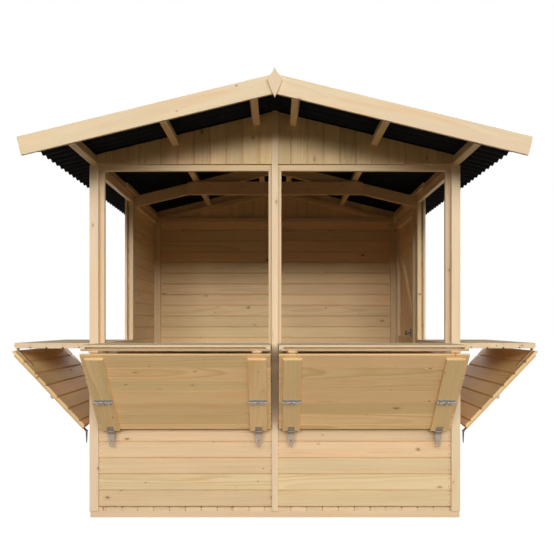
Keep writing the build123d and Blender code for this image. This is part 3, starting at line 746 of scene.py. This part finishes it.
def counter_piece(name, node):
    """Counter leaves of two layers of boards over a frame of battens."""
    stack = Timbers()
    bm, solids = cad_solids(node)
    for s in solids:
        along, half, centre = s["along"], s["half"], s["centre"]
        inward = s["across"] if s["across"].dot(centre) < 0 else -s["across"]
        edges = courses(-half[1], half[1])
        core = half[2] - layer_thick
        for face, vee in ((-1, vee_counter), (1, joint_counter)):
            out = UP * face
            for near, far in zip(edges[:-1], edges[1:]):
                outline = board_outline(far - near, layer_thick, vee, joint_counter)
                origin = centre + inward * near + out * core
                stack.prism(outline, -half[0], half[0], along, inward, out, origin)
        inner_end = half[0] - end_batten
        bars = ((-half[0], -inner_end, half[1]), (inner_end, half[0], half[1]),
                (-inner_end, inner_end, half[1] - slot_deep))
        for start, end, reach in bars:
            bar = [(-reach, -core), (reach, -core), (reach, core), (-reach, core)]
            stack.prism(bar, start, end, along, inward, UP, centre)
    bm.free()
    return stack.finish(name, pine_counter, STALL, [node])


counter_piece("front_counter_leaves", "front_counters")
counter_piece("side_counter_leaves", "side_counters")

# ---------------------------------------------------------------- flaps
# The outer leaf is folded back under the counter. Its boards run the length of the opening, and
# two flat battens are screwed across them. Their pine is coloured warmer and redder than the
# wall pine as a painted warm tint of shade.

# Painted warm shade: pine warmer and redder than the walls' for the flaps and battens.
pine_shutter_painted_warm_shade = pine("pine_shutter_painted_warm_shade", (0.91, 0.655, 0.36), (0.69, 0.41, 0.16),
                    strength=0.68, ring=0.0050, knots=0.45, spread=1.0)
vee_flap = 0.0048
vee_side_flap = 0.0075
joint_flap = 0.0016


def flap_piece(name, node, vee):
    """Flap leaves of level boards, with their V joints on the face that looks up."""
    stack = Timbers()
    bm, solids = cad_solids(node)
    for s in solids:
        half = s["half"]
        out = s["through"] if s["through"].z < 0 else -s["through"]
        down = s["across"] if s["across"].z < 0 else -s["across"]
        edges = courses(-half[1], half[1])
        for near, far in zip(edges[:-1], edges[1:]):
            outline = board_outline(far - near, 2 * half[2], joint_flap, vee)
            origin = s["centre"] + down * near - out * half[2]
            stack.prism(outline, -half[0], half[0], s["along"], down, out, origin)
    bm.free()
    return stack.finish(name, pine_shutter_painted_warm_shade, STALL, [node])


flap_piece("front_flap_leaves", "front_flaps", vee_flap)
flap_piece("side_flap_leaves", "side_flaps", vee_side_flap)
plain_timbers("front_battens", ["front_flap_battens"], pine_shutter_painted_warm_shade)
plain_timbers("side_battens", ["side_flap_battens"], pine_shutter_painted_warm_shade)

# ---------------------------------------------------------------- shutter fittings
# Pressed steel, slightly mottled with a soft sheen: hinges plated in yellow zinc, and sliding
# bolts and jointed hasps in plain zinc, screwed to the battens.


def dress_fittings(nodes, material, ease):
    """Gives CAD fittings their finish and takes the sharpness off their pressed edges."""
    for node in nodes:
        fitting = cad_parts[node]
        fitting.data.materials.clear()
        fitting.data.materials.append(material)
        bevel = fitting.modifiers.new("pressed_edges", "BEVEL")
        bevel.width = ease
        bevel.segments = 1
        bevel.limit_method = "ANGLE"
        bevel.angle_limit = math.radians(50)


bright_zinc = zinc("bright_zinc", (0.34, 0.32, 0.305), 0.38)
hasp_zinc = zinc("hasp_zinc", (0.235, 0.195, 0.155), 0.40)
yellow_zinc = zinc("yellow_zinc", (0.58, 0.41, 0.25), 0.42)
dress_fittings(["sill_hinges", "flap_hinges"], yellow_zinc, 0.0004)
dress_fittings(["flap_bolts"], bright_zinc, 0.0004)
dress_fittings(["flap_hasps"], hasp_zinc, 0.0004)
screws = bmesh.new()
screw_radius = 0.0030
screw_proud = 0.0012
screw_reach = 0.0450
screw_apart = 0.0098
plate_thick = 0.002
flap_slope = math.radians(46.6)
bm, bolts = cad_solids("flap_bolts")
for s in bolts:
    down = Vector((math.copysign(1, s["centre"].x), 0, 0)) if abs(s["along"].y) > 0.5 else -ALONG_Y
    out = (down * math.sin(flap_slope) - UP * math.cos(flap_slope)).normalized()
    fall = s["along"].cross(out)
    face = min(v.co.dot(out) for f in s["faces"] for v in f.verts) + plate_thick
    middle = s["centre"] + out * (face - s["centre"].dot(out))
    for a in (-screw_reach, screw_reach):
        for b in (-screw_apart, screw_apart):
            dome(screws, middle + s["along"] * a + fall * b, out, screw_radius, screw_proud)
bm.free()
place("bolt_screws", screws, bright_zinc, STALL)

# ---------------------------------------------------------------- door
# Upright boards on three ledges with two braces, shut from outside on strap hinges that turn on
# pins in the wall. A rim lock sits over the middle ledge. The door pine is coloured darker and
# warmer than the wall pine as painted shade inside the stall.

DOOR = "door"
# Painted shade: darker, warmer pine for the door, seen inside the stall.
pine_door_painted_shade = pine("pine_door_painted_shade", (0.77, 0.55, 0.32), (0.58, 0.36, 0.15),
                 strength=0.45, ring=0.0050, knots=0.42, spread=0.7)
door_low, door_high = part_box("door_leaf")
door_edges = courses(door_low.y, door_high.y)
door_boards = Timbers()
for near, far in zip(door_edges[:-1], door_edges[1:]):
    outline = board_outline(far - near, door_high.x - door_low.x)
    origin = Vector((door_low.x, near, door_low.z))
    door_boards.prism(outline, 0, door_high.z - door_low.z, UP, ALONG_Y, ALONG_X, origin)
door_boards.finish("door_boards", pine_door_painted_shade, DOOR, ["door_leaf"])
plain_timbers("door_frame", ["door_ledges"], pine_door_painted_shade, DOOR)
dress_fittings(["door_bands", "door_pintles", "door_lock", "lock_keeper"], dull_zinc, 0.0005)
band_screws = bmesh.new()
band_thick = 0.003
band_screw_shares = (0.06, 0.32, 0.58, 0.84)
band_screw_radius = 0.0042
band_screw_proud = 0.0018
bm, bands = cad_solids("door_bands")
for s in bands:
    for share in band_screw_shares:
        y = s["low"].y + share * (s["high"].y - s["low"].y)
        head = Vector((door_high.x + band_thick, y, s["centre"].z))
        dome(band_screws, head, ALONG_X, band_screw_radius, band_screw_proud)
bm.free()
place("band_screws", band_screws, dull_zinc, DOOR)

# ---------------------------------------------------------------- studio floor
# A pale floor that shows white where it is fully lit and keeps a soft shadow, under a white
# surround that gives a little light from all sides.

STUDIO_WHITE = (1, 1, 1, 1)
floor_reach = 16.0
turns = [math.radians(a) for a in range(0, 360, 6)]
rim = [(floor_reach * math.cos(turn), floor_reach * math.sin(turn), 0) for turn in turns]
studio = bpy.data.meshes.new("studio_floor")
studio.from_pydata(rim, [], [tuple(range(len(rim)))])
studio_floor = bpy.data.objects.new("studio_floor", studio)
bpy.context.scene.collection.objects.link(studio_floor)
floor_paint = bpy.data.materials.new("studio_floor_paint")
floor_paint.use_nodes = True
studio.materials.append(floor_paint)


def seen_directly(g):
    """1 where the camera, a gloss or a pane sees the surface, 0 where it only gives light."""
    paths = g.add("ShaderNodeLightPath", {}).outputs
    return g.math("MAXIMUM", paths["Is Camera Ray"],
                  g.math("MAXIMUM", paths["Is Glossy Ray"], paths["Is Transmission Ray"]))


g = Graph(floor_paint.node_tree)
paint = floor_paint.node_tree.nodes["Principled BSDF"]
seen = seen_directly(g)
floor_bounce = (0.21, 0.155, 0.08, 1)
floor_seen = (0.45, 0.45, 0.45, 1)
floor_glow = 0.86
g.put(paint.inputs["Base Color"], g.mix(seen, floor_bounce, floor_seen))
g.put(paint.inputs["Emission Strength"], g.math("MULTIPLY", seen, floor_glow))
paint.inputs["Emission Color"].default_value = STUDIO_WHITE
paint.inputs["Roughness"].default_value = 0.9
paint.inputs["Specular IOR Level"].default_value = 0.0
world = bpy.data.worlds.new("studio_surround")
bpy.context.scene.world = world
world.use_nodes = True
world.node_tree.nodes.clear()
g = Graph(world.node_tree)
ambient = g.add("ShaderNodeBackground", {"Color": STUDIO_WHITE, "Strength": 0.03}).outputs[0]
backdrop = g.add("ShaderNodeBackground", {"Color": STUDIO_WHITE, "Strength": 1.0}).outputs[0]
surround = g.add("ShaderNodeMixShader", {0: seen_directly(g), 1: ambient, 2: backdrop}).outputs[0]
g.add("ShaderNodeOutputWorld", {"Surface": surround})

# ---------------------------------------------------------------- lamps
# Large soft panels far from the stall: three low in front, one over the other, one to the right
# of them, and three faint ones that light the sides and the back.

lamp_away = 40.0
aim_at = Vector((0, 0, 1.2))


def panel_lamp(name, azimuth, elevation, wide, high, level):
    """A panel seen from the stall at an angle, with its width and height in degrees."""
    lamp = bpy.data.lights.new(name, "AREA")
    lamp.shape = "RECTANGLE"
    lamp.size = 2 * lamp_away * math.tan(math.radians(wide / 2))
    lamp.size_y = 2 * lamp_away * math.tan(math.radians(high / 2))
    lamp.energy = level * (math.pi * lamp_away) ** 2
    panel = bpy.data.objects.new(name, lamp)
    bpy.context.scene.collection.objects.link(panel)
    turn, rise = math.radians(azimuth), math.radians(elevation)
    away = Vector((math.sin(turn) * math.cos(rise), -math.cos(turn) * math.cos(rise), math.sin(rise)))
    panel.location = aim_at + away * lamp_away
    panel.rotation_euler = (-away).to_track_quat("-Z", "Y").to_euler()


panel_lamp("front_panel", 0, 13, 44, 6, 0.41)
panel_lamp("middle_panel", 0, 19, 44, 6, 0.18)
panel_lamp("upper_panel", 0, 27, 50, 8, 0.18)
panel_lamp("quarter_panel", 45, 18, 30, 12, 0.16)
panel_lamp("left_panel", -112, 25, 40, 25, 0.15)
panel_lamp("right_panel", 112, 25, 40, 25, 0.15)
panel_lamp("back_panel", 180, 25, 60, 25, 0.30)

# ---------------------------------------------------------------- camera
# Level and straight on to the front, from a few metres away and a little under eye height, with
# the lens shifted up so that the uprights stay parallel.

bpy.context.scene.view_settings.view_transform = "Standard"
lens = bpy.data.cameras.new("eye")
lens.sensor_width = 36.0
lens.lens = 47.1
lens.shift_x = 0.0007
lens.shift_y = 0.087
eye = bpy.data.objects.new("eye", lens)
bpy.context.scene.collection.objects.link(eye)
eye.location = (0.010, -5.4, 1.141)
eye.rotation_euler = (math.radians(90), 0, 0)
bpy.context.scene.camera = eye
